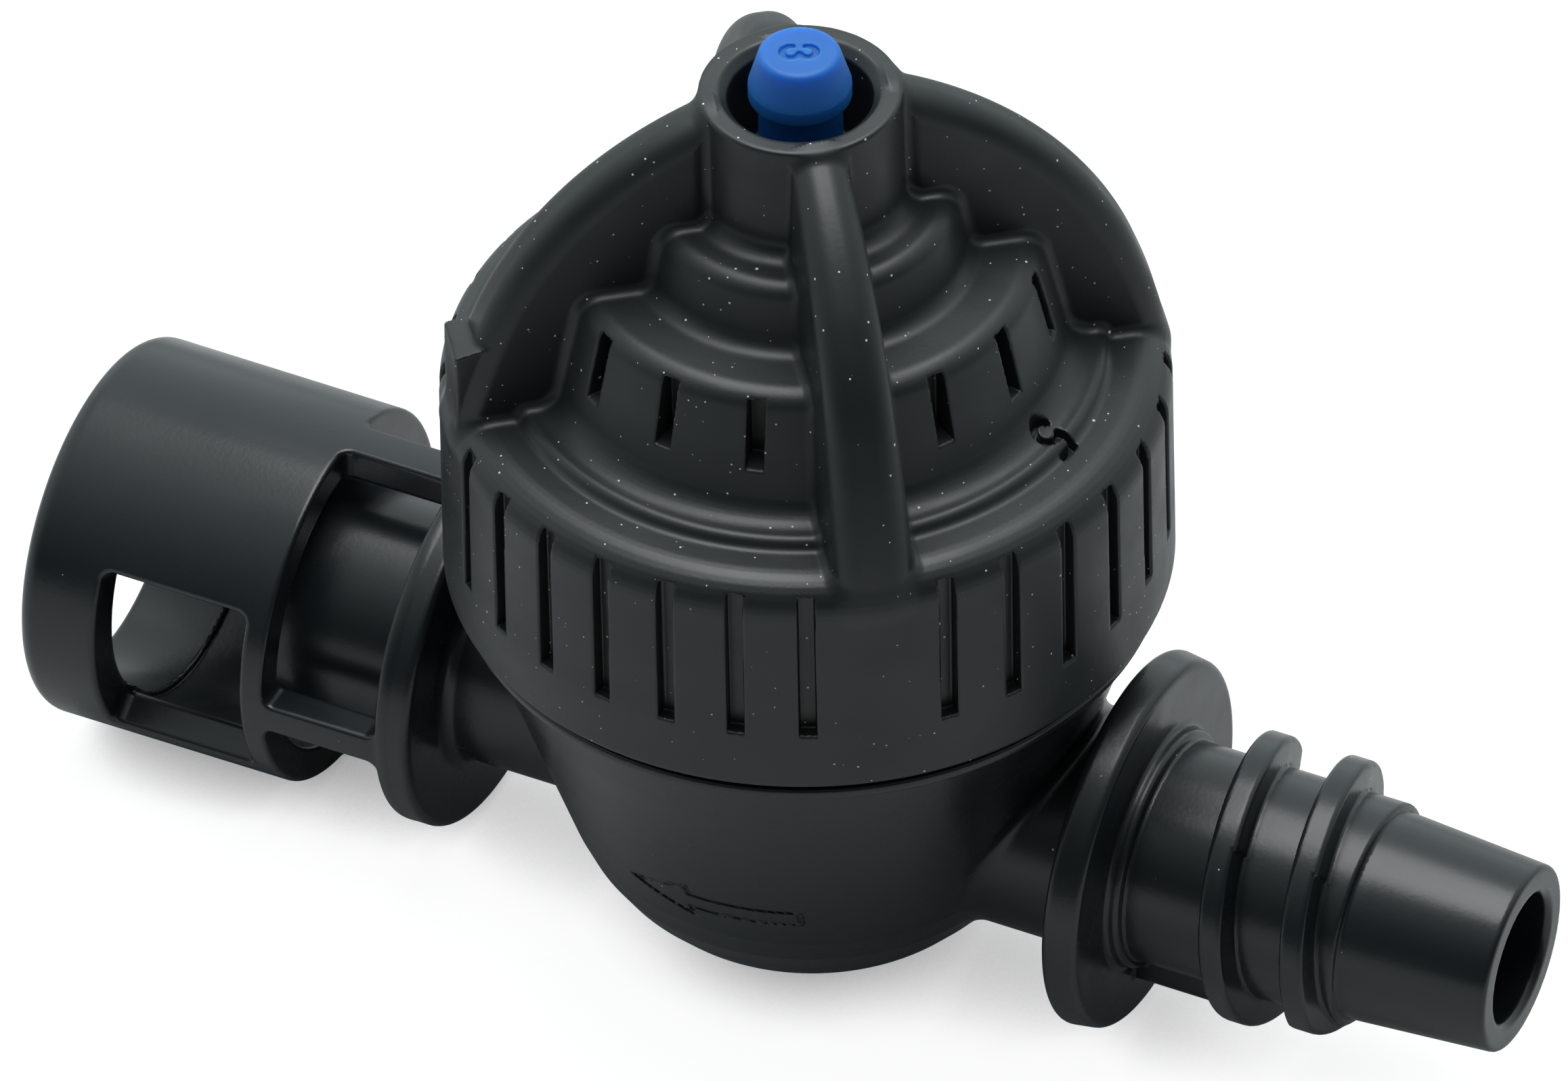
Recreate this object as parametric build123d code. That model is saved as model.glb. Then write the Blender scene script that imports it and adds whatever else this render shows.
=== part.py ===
from build123d import *
import os
from math import cos, radians, sin, sqrt, tan

# In-line diaphragm check valve with an indicator pin. Millimetres, +Z up.
# Origin: centre of the bowl's flat underside, on the cap's axis.
# +X points along the pipe, out of the inlet plug. The outlet socket is at -X.

# ---- driving dimensions: pipe line -------------------------------------------------
PIPE_Z = 8.4                 # height of the pipe's axis
INLET_BORE_R = 2.76          # water bore through the inlet plug
PASSAGE_R = 2.3              # outlet passage from the seat column to the socket
PASSAGE_WALL = 1.4           # wall of the passage's tube where it crosses the bowl
NECK_R = 5.0                 # necks between the bowl and the two stop discs
NECK_START_X = 8.0           # both necks start inside the bowl's wall
STOP_DISC_X = (14.05, 15.6)  # inlet stop disc, faces along X
STOP_DISC_R = (8.07, 7.85)   # its radius at each face
OUTLET_DISC_X = (-16.3, -14.7)
OVERLAP = 0.5                # how far joined solids run into each other

# ---- driving dimensions: threaded inlet plug -----------------------------------------
PLUG_TIP_X = 32.05
PLUG_TIP_R = 3.98
PLUG_NOSE_R = 4.38           # widest radius of the tapered nose
PLUG_NOSE_X = 26.2           # where the taper starts
PLUG_COLLAR_R = 5.12         # low collar against the stop disc
PLUG_COLLAR_END_X = 16.25
PLUG_CORE_R = 4.72           # cylinder that carries the coarse thread
PLUG_CORE_END_X = 25.55
PLUG_THREAD_R = 5.95
PLUG_THREAD_PITCH = 3.6
PLUG_THREAD_ROOT = 1.35      # axial width of the ridge at its root
PLUG_THREAD_CREST = 1.15
PLUG_THREAD_X = 19.06        # middle of the ridge where it starts
PLUG_THREAD_ANGLE = 5.0      # where it starts, about X, from +Y towards +Z
PLUG_THREAD_TURNS = 1.625
RUN_OUT_ANGLE = 250.0        # direction that the run-out flat faces
KEY_WIDTH = 4.6              # block under the plug, between the stop disc and the thread
KEY_END_X = 20.8             # inside the thread's first turn
KEY_ROUND = 0.7

# ---- driving dimensions: outlet socket ------------------------------------------------
SOCKET_MOUTH_X = -33.0
SOCKET_R = 8.2               # at the mouth
SOCKET_FOOT_R = 8.1          # where the sleeve meets the disc
OUTLET_DISC_R = 8.15
SOCKET_BORE_R = 6.35         # guide land inside the mouth
SOCKET_LAND_X = -29.0        # where the land ends
SOCKET_RELIEF_R = 6.6        # wider bore behind the land
NOZZLE_TUBE_X = -23.0        # open end of the tube that takes the plug's nose
NOZZLE_TUBE_R = 5.05
NOZZLE_BORE_R = 4.1
NOZZLE_SEAT_X = -16.6        # floor of the nose tube's bore
WINDOW_REACH = 2.0           # how far a window's cutter passes the sleeve
LOCK_WINDOW_X = (-29.3, -22.6)
LOCK_WINDOW_ANGLES = (149.5, 213.0)   # about X, from +Y towards +Z
SIDE_WINDOW_X = (-21.5, -16.3)
SIDE_WINDOW_ANGLES = ((90.0, 177.0), (187.0, 264.0), (276.0, 351.0), (1.0, 76.0))

# ---- driving dimensions: bowl --------------------------------------------------------
BOWL_CORNER_R = 8.25         # where the cone would meet the floor
BOWL_CORNER_ROUND = 9.0
BOWL_TOP_R = 14.0
BOWL_TOP_Z = 18.1
BOWL_WALL = 1.7
LIP_R = 14.55
LIP_TOP_Z = 18.72
COLLAR_R = 13.0
COLLAR_BORE_R = 11.2
COLLAR_TOP_Z = 25.4
COLUMN_R = 4.6               # upright outlet column in the middle of the bowl
COLUMN_TOP_Z = 20.2
SEAT_POCKET_R = 3.0
SEAT_POCKET_Z = 18.2

# ---- driving dimensions: thread between collar and cap ---------------------------------
THREAD_PITCH = 2.0
THREAD_TURNS = 1.25
THREAD_HEIGHT = 0.42
THREAD_ROOT = 0.95           # axial width of a ridge at its root
THREAD_CREST = 0.4
THREAD_BURY = 0.15           # how far any ridge's root runs into its wall
BODY_THREAD_Z = 20.6         # where the collar's ridge starts

# ---- driving dimensions: screw cap -----------------------------------------------------
SKIRT_R = 15.0
SKIRT_TOP_R = 14.88
SKIRT_BORE_R = 13.6
SKIRT_Z = 19.2
CEILING_Z = 27.7             # face that clamps the diaphragm's bead
LEDGE_Z = 29.6               # ledge between the skirt and the raised annulus
LEDGE_ROUND = 1.5
ANNULUS_Z = 30.0
TIER_1_Z = 35.3
TIER_2_Z = 38.1
RIM_Z = 43.4
HUB_R = 4.1
HUB_BORE_R = 2.93
HUB_MOUTH_R = 3.32
HUB_FLOOR_Z = 39.2
SPRING_CEILING_Z = 36.7
GUIDE_BORE_R = 1.78
DOME_1_BORE_R = 8.3
DOME_1_CEILING_Z = 33.8
DOME_2_BORE_R = 4.95
RIB_COUNT = 4
RIB_ANGLE = 36.9             # first rib, from +X towards +Y
RIB_WIDTH = 2.9
RIB_ROUND = 1.15
RIB_CREST_R = 17.07
RIB_CREST_CENTRE = (-2.4, 27.4)
RIB_START_R = 3.6            # the rib begins inside the hub's wall
GROOVES_PER_QUARTER = 8      # grip grooves, with a rib in place of every eighth
GROOVE_WIDTH = 0.7
GROOVE_FLOOR_R = 14.35
GROOVE_Z = (22.0, 29.0)
TICK_STEP = 22.5             # graduation slots on the first tier, three per quarter
TICK_WIDTH = 0.72
TICK_FLOOR_R = 9.0
TICK_Z = (31.95, 34.95)
GATE_TAB_ANGLE = 216.9
GATE_TAB_R = (13.0, 14.65)
GATE_TAB_WIDTH = 2.4
GATE_TAB_Z = (28.5, 33.05)

# ---- driving dimensions: working parts ---------------------------------------------------
GAP = 0.02                   # between faces that touch in use
BEAD_R = (11.5, 13.3)
BEAD_TOP_Z = 26.9
DISC_Z = (23.1, 23.9)        # middle of the diaphragm
SLIP_RING_R = (10.4, 13.4)
STUD_R = 2.4
STUD_TOP_Z = 27.6
CLAMP_R = 5.2
CLAMP_Z = 21.2
PAD_R = 4.3
PAD_THICKNESS = 0.78
PLATE_R = 6.5
PLATE_TOP_Z = 25.2
PLATE_HUB_R = 3.15
SEAT_BORE_R = 2.2
SEAT_LIP_R = (3.0, 3.5)
SEAT_FLANGE_R = 4.2
SPRING_R = 3.95              # mean radius of the coil
SPRING_WIRE_R = 0.4
SPRING_TURNS = 6.5
PIN_R = 1.7
PIN_BOTTOM_Z = 22.7
PIN_NECK_Z = 43.1            # underside of the pin's head
PIN_HEAD_R = 2.09
PIN_LAND_Z = 43.75
PIN_TOP_R = 1.62
PIN_TOP_Z = 45.35


# ---- helpers -------------------------------------------------------------------------------
def rounded_face(corners):
    """Face in the XZ plane, from (x, z, corner radius) points taken in order."""
    points = [Vector(x, 0, z) for x, z, _ in corners]
    count = len(points)
    edges = []
    starts, ends = [], []
    for i, point in enumerate(points):
        radius = corners[i][2]
        back = (points[i - 1] - point).normalized()
        ahead = (points[(i + 1) % count] - point).normalized()
        if radius == 0:
            starts.append(point)
            ends.append(point)
            continue
        half = radians(back.get_angle(ahead)) / 2
        bisector = (back + ahead).normalized()
        centre = point + bisector * (radius / sin(half))
        starts.append(point + back * (radius / tan(half)))
        ends.append(point + ahead * (radius / tan(half)))
        edges.append(ThreePointArc(starts[i], centre - bisector * radius, ends[i]))
    for i in range(count):
        if (starts[(i + 1) % count] - ends[i]).length > 1e-6:
            edges.append(Line(ends[i], starts[(i + 1) % count]))
    return make_face(edges)


def turned(corners):
    """Solid of revolution about Z."""
    return revolve(rounded_face(corners), Axis.Z)


def turned_on_pipe(corners):
    """Solid of revolution about the pipe's axis, from (x, radius, corner radius) points."""
    return revolve(rounded_face(corners), Axis.X).moved(Location((0, 0, PIPE_Z)))


def tube(outer, inner, z_low, z_high, round_r=0.0):
    """Ring about Z with rounded outer corners."""
    return turned([
        (inner, z_low, 0),
        (outer, z_low, round_r),
        (outer, z_high, round_r),
        (inner, z_high, 0),
    ])


def pipe_sector(x_range, radius, angle_low, angle_high):
    """Wedge about the pipe's axis. Angles run from +Y towards +Z, in degrees."""
    steps = 6
    span = angle_high - angle_low
    reach = radius / cos(radians(span / steps / 2))
    rim = []
    for i in range(steps + 1):
        angle = radians(angle_low + span * i / steps)
        rim.append((reach * cos(angle), reach * sin(angle)))
    outline = make_face(Polyline((0, 0), *rim, close=True))
    wedge = extrude(Plane.YZ * outline, amount=x_range[1] - x_range[0])
    return wedge.moved(Location((x_range[0], 0, PIPE_Z)))


def at_angle(angle, shape):
    """The shape turned about Z by an angle in degrees."""
    return shape.moved(Location((0, 0, 0), (0, 0, angle)))


def helical_ridge(root_r, height, pitch, turns, root_width, crest_width):
    """Right-handed ridge about Z, from +X at Z = 0. A negative height makes it point inwards."""
    helix = Helix(pitch=pitch, height=pitch * turns, radius=root_r)
    bury = THREAD_BURY if height > 0 else -THREAD_BURY
    buried_width = root_width + (root_width - crest_width) * bury / height
    section = make_face(
        Polyline(
            (root_r - bury, 0, -buried_width / 2),
            (root_r + height, 0, -crest_width / 2),
            (root_r + height, 0, crest_width / 2),
            (root_r - bury, 0, buried_width / 2),
            close=True,
        )
    )
    return sweep(section, path=helix, is_frenet=True)


def cap_thread(root_r, height, z_start):
    """One ridge of the thread that joins the collar and the cap."""
    ridge = helical_ridge(root_r, height, THREAD_PITCH, THREAD_TURNS, THREAD_ROOT, THREAD_CREST)
    return ridge.moved(Location((0, 0, z_start)))


# ---- the fixed body --------------------------------------------------------------------------
def bowl_outside():
    """Bowl, lip and collar as one solid of revolution."""
    return turned([
        (0, 0, 0),
        (BOWL_CORNER_R, 0, BOWL_CORNER_ROUND),
        (BOWL_TOP_R, BOWL_TOP_Z, 0.35),
        (LIP_R, BOWL_TOP_Z + 0.02, 0.25),
        (LIP_R, LIP_TOP_Z, 0.2),
        (COLLAR_R, LIP_TOP_Z, 0.25),
        (COLLAR_R, COLLAR_TOP_Z, 0.3),
        (0, COLLAR_TOP_Z, 0),
    ])


def bowl_inside():
    floor_z = BOWL_WALL
    return turned([
        (0, floor_z, 0),
        (BOWL_CORNER_R - BOWL_WALL, floor_z, BOWL_CORNER_ROUND - 2 * BOWL_WALL),
        (COLLAR_BORE_R, BOWL_TOP_Z - 1.5, 2.0),
        (COLLAR_BORE_R, COLLAR_TOP_Z + 1, 0),
        (0, COLLAR_TOP_Z + 1, 0),
    ])


def plug_thread():
    """Coarse ridge on the inlet plug. It starts behind the plug and runs out in front."""
    height = PLUG_THREAD_R - PLUG_CORE_R
    ridge = helical_ridge(
        PLUG_CORE_R, height, PLUG_THREAD_PITCH, PLUG_THREAD_TURNS, PLUG_THREAD_ROOT, PLUG_THREAD_CREST
    )
    ridge = at_angle(90 + PLUG_THREAD_ANGLE, ridge).moved(Location((PLUG_THREAD_X, 0, 0), (0, 90, 0)))
    last_turn_x = PLUG_THREAD_X + PLUG_THREAD_PITCH
    reach = PLUG_TIP_X - last_turn_x
    flat = Box(reach, 2 * PLUG_THREAD_R, PLUG_THREAD_R, align=(Align.MIN, Align.CENTER, Align.MIN))
    flat = flat.moved(Location((last_turn_x, 0, PLUG_CORE_R)))
    ridge -= flat.moved(Location((0, 0, 0), (RUN_OUT_ANGLE - 90, 0, 0)))
    return ridge.moved(Location((0, 0, PIPE_Z)))


def inlet_plug():
    """Neck, stop disc, threaded plug and tapered nose, solid through."""
    disc_a, disc_b = STOP_DISC_X
    shape = turned_on_pipe([
        (NECK_START_X, 0, 0),
        (NECK_START_X, NECK_R, 0),
        (disc_a, NECK_R, 0.6),
        (disc_a, STOP_DISC_R[0], 0.35),
        (disc_b, STOP_DISC_R[1], 0.35),
        (disc_b, PLUG_COLLAR_R, 0.25),
        (PLUG_COLLAR_END_X, PLUG_COLLAR_R, 0.25),
        (PLUG_COLLAR_END_X, PLUG_CORE_R, 0.1),
        (PLUG_CORE_END_X, PLUG_CORE_R, 0.3),
        (PLUG_CORE_END_X + 0.25, PLUG_NOSE_R, 0.2),
        (PLUG_NOSE_X, PLUG_NOSE_R, 0.5),
        (PLUG_TIP_X, PLUG_TIP_R, 0.25),
        (PLUG_TIP_X, 0, 0),
    ])
    key = Box(
        KEY_END_X - disc_b + OVERLAP, KEY_WIDTH, PLUG_THREAD_R - 0.15,
        align=(Align.MIN, Align.CENTER, Align.MAX),
    )
    key = fillet(key.edges().filter_by(Axis.X).group_by(Axis.Z)[0], KEY_ROUND)
    return shape + plug_thread() + key.moved(Location((disc_b - OVERLAP, 0, PIPE_Z)))


def outlet_socket():
    """Neck, stop disc, nose tube and windowed sleeve, solid through the neck."""
    disc_a, disc_b = OUTLET_DISC_X
    shape = turned_on_pipe([
        (-NECK_START_X, 0, 0),
        (-NECK_START_X, NECK_R, 0),
        (disc_b, NECK_R, 0.6),
        (disc_b, OUTLET_DISC_R, 0.35),
        (disc_a, OUTLET_DISC_R, 0.35),
        (disc_a, NOZZLE_TUBE_R, 0.3),
        (NOZZLE_TUBE_X, NOZZLE_TUBE_R, 0.25),
        (NOZZLE_TUBE_X, 0, 0),
    ])
    sleeve = turned_on_pipe([
        (SOCKET_MOUTH_X, SOCKET_BORE_R, 0.25),
        (SOCKET_MOUTH_X, SOCKET_R, 0.45),
        (disc_a + OVERLAP, SOCKET_FOOT_R, 0),
        (disc_a + OVERLAP, SOCKET_RELIEF_R, 0),
        (SOCKET_LAND_X, SOCKET_RELIEF_R, 0),
        (SOCKET_LAND_X, SOCKET_BORE_R, 0),
    ])
    for side in (1, -1):
        low, high = LOCK_WINDOW_ANGLES
        if side == -1:
            low, high = 180 - high, 180 - low
        sleeve -= pipe_sector(LOCK_WINDOW_X, SOCKET_R + WINDOW_REACH, low, high)
    for low, high in SIDE_WINDOW_ANGLES:
        sleeve -= pipe_sector(SIDE_WINDOW_X, SOCKET_R + WINDOW_REACH, low, high)
    return shape + sleeve


def make_valve_body():
    shape = bowl_outside() + inlet_plug() + outlet_socket()
    shape -= bowl_inside()
    column = Cylinder(COLUMN_R, COLUMN_TOP_Z - 1.0, align=(Align.CENTER, Align.CENTER, Align.MIN))
    shape += column.moved(Location((0, 0, 1.0)))
    tube_r, tube_end_x = PASSAGE_R + PASSAGE_WALL, -STOP_DISC_X[0] + 2.0
    shape += turned_on_pipe([(0, 0, 0), (0, tube_r, 0), (tube_end_x, tube_r, 0), (tube_end_x, 0, 0)])
    shape -= turned([
        (0, PIPE_Z - PASSAGE_R, 0),
        (PASSAGE_R, PIPE_Z - PASSAGE_R, 0),
        (PASSAGE_R, SEAT_POCKET_Z, 0),
        (SEAT_POCKET_R, SEAT_POCKET_Z, 0),
        (SEAT_POCKET_R, COLUMN_TOP_Z + 1, 0),
        (0, COLUMN_TOP_Z + 1, 0),
    ])
    shape -= turned_on_pipe([
        (0, 0, 0),
        (0, PASSAGE_R, 0),
        (NOZZLE_SEAT_X, PASSAGE_R, 0),
        (NOZZLE_SEAT_X, NOZZLE_BORE_R, 0),
        (NOZZLE_TUBE_X + 0.4, NOZZLE_BORE_R, 0),
        (NOZZLE_TUBE_X - 0.1, NOZZLE_BORE_R + 0.45, 0),
        (NOZZLE_TUBE_X - 0.1, 0, 0),
    ])
    shape -= turned_on_pipe([
        (NECK_START_X, 0, 0),
        (NECK_START_X, INLET_BORE_R, 0),
        (PLUG_TIP_X - 0.2, INLET_BORE_R, 0),
        (PLUG_TIP_X + 0.1, INLET_BORE_R + 0.3, 0),
        (PLUG_TIP_X + 0.1, 0, 0),
    ])
    return shape + cap_thread(COLLAR_R, THREAD_HEIGHT, BODY_THREAD_Z)


# ---- the screw cap ---------------------------------------------------------------------------
def cap_outside():
    """Skirt, ledge, annulus, two-tier dome and hub, from the outside."""
    return turned([
        (0, SKIRT_Z, 0),
        (SKIRT_R, SKIRT_Z, 0.25),
        (SKIRT_TOP_R, LEDGE_Z, LEDGE_ROUND),
        (12.4, LEDGE_Z, 0.25),
        (11.95, ANNULUS_Z, 0.35),
        (10.75, ANNULUS_Z, 1.5),
        (9.5, TIER_1_Z, 0.85),
        (6.75, TIER_1_Z, 0.7),
        (6.15, TIER_2_Z, 0.7),
        (HUB_R + 0.1, TIER_2_Z, 0.7),
        (HUB_R, RIM_Z, 0.3),
        (0, RIM_Z, 0),
    ])


def cap_inside():
    """Threaded bore, ceiling, spring dome, pin guide and open hub."""
    return turned([
        (0, SKIRT_Z - 1, 0),
        (SKIRT_BORE_R, SKIRT_Z - 1, 0),
        (SKIRT_BORE_R, CEILING_Z, 0.1),
        (DOME_1_BORE_R, CEILING_Z, 0.3),
        (DOME_1_BORE_R, DOME_1_CEILING_Z, 0.8),
        (DOME_2_BORE_R, DOME_1_CEILING_Z, 0.3),
        (DOME_2_BORE_R, SPRING_CEILING_Z, 0.3),
        (GUIDE_BORE_R, SPRING_CEILING_Z, 0),
        (GUIDE_BORE_R, HUB_FLOOR_Z, 0),
        (HUB_BORE_R, HUB_FLOOR_Z, 0.2),
        (HUB_BORE_R, RIM_Z - (HUB_MOUTH_R - HUB_BORE_R), 0),
        (HUB_MOUTH_R + 0.2, RIM_Z + 0.2, 0),
        (0, RIM_Z + 0.2, 0),
    ])


def cap_rib():
    """Arched rib from the hub's rim to the skirt, in the XZ plane."""
    centre_x, centre_z = RIB_CREST_CENTRE
    inner_x = RIB_START_R
    outer_x = centre_x + RIB_CREST_R
    top = Vector(inner_x, 0, centre_z + sqrt(RIB_CREST_R ** 2 - (inner_x - centre_x) ** 2))
    middle_angle = radians(50)
    middle = Vector(
        centre_x + RIB_CREST_R * cos(middle_angle), 0, centre_z + RIB_CREST_R * sin(middle_angle)
    )
    foot = Vector(outer_x, 0, centre_z)
    outline = make_face([
        ThreePointArc(top, middle, foot),
        Line(foot, Vector(inner_x, 0, centre_z)),
        Line(Vector(inner_x, 0, centre_z), top),
    ])
    rib = extrude(outline, amount=RIB_WIDTH / 2, both=True)
    crest = [edge for edge in rib.edges().filter_by(GeomType.CIRCLE) if edge.radius > RIB_CREST_R - 1]
    return fillet(crest, RIB_ROUND)


def make_bonnet_cap():
    shape = cap_outside()
    rib = cap_rib()
    for i in range(RIB_COUNT):
        shape += at_angle(RIB_ANGLE + 360 / RIB_COUNT * i, rib)
    tab = Box(
        GATE_TAB_R[1] - GATE_TAB_R[0], GATE_TAB_WIDTH, GATE_TAB_Z[1] - GATE_TAB_Z[0],
        align=(Align.MIN, Align.CENTER, Align.MIN),
    )
    shape += at_angle(GATE_TAB_ANGLE, tab.moved(Location((GATE_TAB_R[0], 0, GATE_TAB_Z[0]))))
    cap_thread_z = BODY_THREAD_Z + THREAD_PITCH / 4
    ridge = at_angle(-90, cap_thread(SKIRT_BORE_R, -THREAD_HEIGHT, cap_thread_z))
    shape -= cap_inside() - ridge
    groove = Box(2, GROOVE_WIDTH, GROOVE_Z[1] - GROOVE_Z[0], align=(Align.MIN, Align.CENTER, Align.MIN))
    groove = groove.moved(Location((GROOVE_FLOOR_R, 0, GROOVE_Z[0])))
    tick = Box(2, TICK_WIDTH, TICK_Z[1] - TICK_Z[0], align=(Align.MIN, Align.CENTER, Align.MIN))
    tick = tick.moved(Location((TICK_FLOOR_R, 0, TICK_Z[0])))
    cuts = []
    groove_step = 90 / GROOVES_PER_QUARTER
    for quarter in range(RIB_COUNT):
        start = RIB_ANGLE + 90 * quarter
        cuts += [at_angle(start + groove_step * k, groove) for k in range(1, GROOVES_PER_QUARTER)]
        cuts += [at_angle(start + TICK_STEP * k, tick) for k in (1, 2, 3)]
    return shape - cuts


# ---- the working parts -------------------------------------------------------------------------
def make_seat_ring():
    """Press-in seat at the top of the outlet column, with a raised sealing lip."""
    flange_z = COLUMN_TOP_Z + GAP
    return turned([
        (SEAT_BORE_R, SEAT_POCKET_Z + 0.05, 0),
        (SEAT_POCKET_R - GAP, SEAT_POCKET_Z + 0.05, 0.15),
        (SEAT_POCKET_R - GAP, flange_z, 0),
        (SEAT_FLANGE_R, flange_z, 0),
        (SEAT_FLANGE_R, flange_z + 0.4, 0.15),
        (SEAT_LIP_R[1], flange_z + 0.4, 0),
        (SEAT_LIP_R[1] - 0.1, CLAMP_Z - GAP, 0.12),
        (SEAT_LIP_R[0], CLAMP_Z - GAP, 0.12),
        (SEAT_BORE_R, flange_z + 0.2, 0),
    ])


def make_diaphragm():
    """Dished rubber disc with a thick outer bead."""
    low, high = DISC_Z
    bead_in, bead_out = BEAD_R
    bead_z = COLLAR_TOP_Z + GAP
    return turned([
        (STUD_R + 0.05, low, 0),
        (7.2, low, 0.8),
        (10.3, bead_z + 0.2, 0.6),
        (bead_in, bead_z + 0.2, 0),
        (bead_in, bead_z, 0),
        (bead_out, bead_z, 0.3),
        (bead_out, BEAD_TOP_Z, 0.3),
        (bead_in, BEAD_TOP_Z, 0.2),
        (bead_in, bead_z + 0.95, 0.2),
        (9.95, bead_z + 0.95, 0.6),
        (6.95, high, 0.8),
        (STUD_R + 0.05, high, 0),
    ])


def make_slip_ring():
    """Hard ring that lets the cap turn without dragging the rubber."""
    return tube(SLIP_RING_R[1], SLIP_RING_R[0], BEAD_TOP_Z + GAP, CEILING_Z - GAP, 0.1)


def make_diaphragm_clamp():
    """Disc and hollow stud under the diaphragm, with a pocket for the seal pad."""
    disc_top = DISC_Z[0] - GAP
    return turned([
        (0, CLAMP_Z + PAD_THICKNESS + GAP, 0),
        (PAD_R + GAP, CLAMP_Z + PAD_THICKNESS + GAP, 0),
        (PAD_R + GAP, CLAMP_Z + 0.1, 0),
        (CLAMP_R, CLAMP_Z + 0.1, 0.2),
        (CLAMP_R, disc_top, 0.3),
        (STUD_R, disc_top, 0),
        (STUD_R, STUD_TOP_Z, 0.2),
        (PIN_R + GAP, STUD_TOP_Z, 0),
        (PIN_R + GAP, PIN_BOTTOM_Z - GAP, 0),
        (0, PIN_BOTTOM_Z - GAP, 0),
    ])


def make_diaphragm_plate():
    """Disc over the diaphragm, with a hub that centres the spring."""
    low = DISC_Z[1] + GAP
    return turned([
        (STUD_R + GAP, low, 0),
        (PLATE_R, low, 0.35),
        (PLATE_R, PLATE_TOP_Z, 0.2),
        (PLATE_HUB_R, PLATE_TOP_Z, 0),
        (PLATE_HUB_R, STUD_TOP_Z, 0.3),
        (STUD_R + GAP, STUD_TOP_Z, 0),
    ])


def make_seal_pad():
    return turned([
        (0, CLAMP_Z, 0),
        (PAD_R, CLAMP_Z, 0.15),
        (PAD_R, CLAMP_Z + PAD_THICKNESS, 0),
        (0, CLAMP_Z + PAD_THICKNESS, 0),
    ])


def make_return_spring():
    """Round-wire coil between the plate and the cap's spring ceiling."""
    low = PLATE_TOP_Z + SPRING_WIRE_R + GAP
    high = SPRING_CEILING_Z - SPRING_WIRE_R - GAP
    path = Helix(pitch=(high - low) / SPRING_TURNS, height=high - low, radius=SPRING_R)
    start = Plane(origin=path @ 0, z_dir=path % 0)
    coil = sweep(start * Circle(SPRING_WIRE_R), path=path, is_frenet=True)
    return coil.moved(Location((0, 0, low)))


def make_indicator_pin():
    """Blue pin that shows whether the valve is open."""
    return turned([
        (0, PIN_BOTTOM_Z, 0),
        (PIN_R, PIN_BOTTOM_Z, 0.2),
        (PIN_R, PIN_NECK_Z, 0),
        (PIN_HEAD_R, PIN_NECK_Z, 0.1),
        (PIN_HEAD_R, PIN_LAND_Z, 0.15),
        (PIN_TOP_R, PIN_TOP_Z, 0.2),
        (0, PIN_TOP_Z, 0),
    ])


PARTS = {
    "valve_body": make_valve_body,
    "bonnet_cap": make_bonnet_cap,
    "seat_ring": make_seat_ring,
    "diaphragm": make_diaphragm,
    "slip_ring": make_slip_ring,
    "diaphragm_clamp": make_diaphragm_clamp,
    "diaphragm_plate": make_diaphragm_plate,
    "seal_pad": make_seal_pad,
    "return_spring": make_return_spring,
    "indicator_pin": make_indicator_pin,
}

os.makedirs("parts", exist_ok=True)
for name, make in PARTS.items():
    export_step(make(), os.path.join("parts", name + ".step"))
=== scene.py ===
"""Looks for the in-line check valve: moulded meshes, procedural plastics, soft light and the camera.

Lengths in the shape code are millimetres in the row frame, as in the CAD source. SCALE turns them into
metres. The moulded pieces are described by signed distance: negative inside the plastic, positive outside.
"""

import math

import bpy
import numpy as np
import openvdb
from mathutils import Matrix, Vector


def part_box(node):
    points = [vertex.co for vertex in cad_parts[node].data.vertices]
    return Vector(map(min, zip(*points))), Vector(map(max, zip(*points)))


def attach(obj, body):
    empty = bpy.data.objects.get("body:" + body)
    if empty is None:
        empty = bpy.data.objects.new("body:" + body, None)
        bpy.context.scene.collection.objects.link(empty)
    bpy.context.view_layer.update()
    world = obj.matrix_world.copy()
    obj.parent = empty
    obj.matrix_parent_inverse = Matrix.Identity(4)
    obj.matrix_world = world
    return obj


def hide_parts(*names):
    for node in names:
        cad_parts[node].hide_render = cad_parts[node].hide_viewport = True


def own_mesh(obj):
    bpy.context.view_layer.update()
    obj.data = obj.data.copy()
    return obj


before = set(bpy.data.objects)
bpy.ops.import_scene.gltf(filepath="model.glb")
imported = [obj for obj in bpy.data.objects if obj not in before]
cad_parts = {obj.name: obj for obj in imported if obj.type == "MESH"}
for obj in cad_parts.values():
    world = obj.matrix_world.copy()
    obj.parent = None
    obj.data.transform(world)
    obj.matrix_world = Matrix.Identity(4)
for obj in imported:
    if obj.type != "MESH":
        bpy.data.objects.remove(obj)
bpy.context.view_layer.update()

SCALE = 0.001
BLOCK = 8                 # samples along one side of a block of the sampling grid
BLOCKS_AT_ONCE = 2500     # blocks sampled in one go, to bound the memory used
FAR = 9.0                 # a distance that stands for "nothing near here"


def node_box(node):
    """Lowest and highest corners of a CAD node, in millimetres."""
    low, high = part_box(node)
    return low / SCALE, high / SCALE


BODY_LOW, BODY_HIGH = node_box("valve_body")
CAP_LOW, CAP_HIGH = node_box("bonnet_cap")
PIN_LOW, PIN_HIGH = node_box("indicator_pin")
DISH_LOW, DISH_HIGH = node_box("diaphragm")
COIL_LOW, COIL_HIGH = node_box("return_spring")

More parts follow.
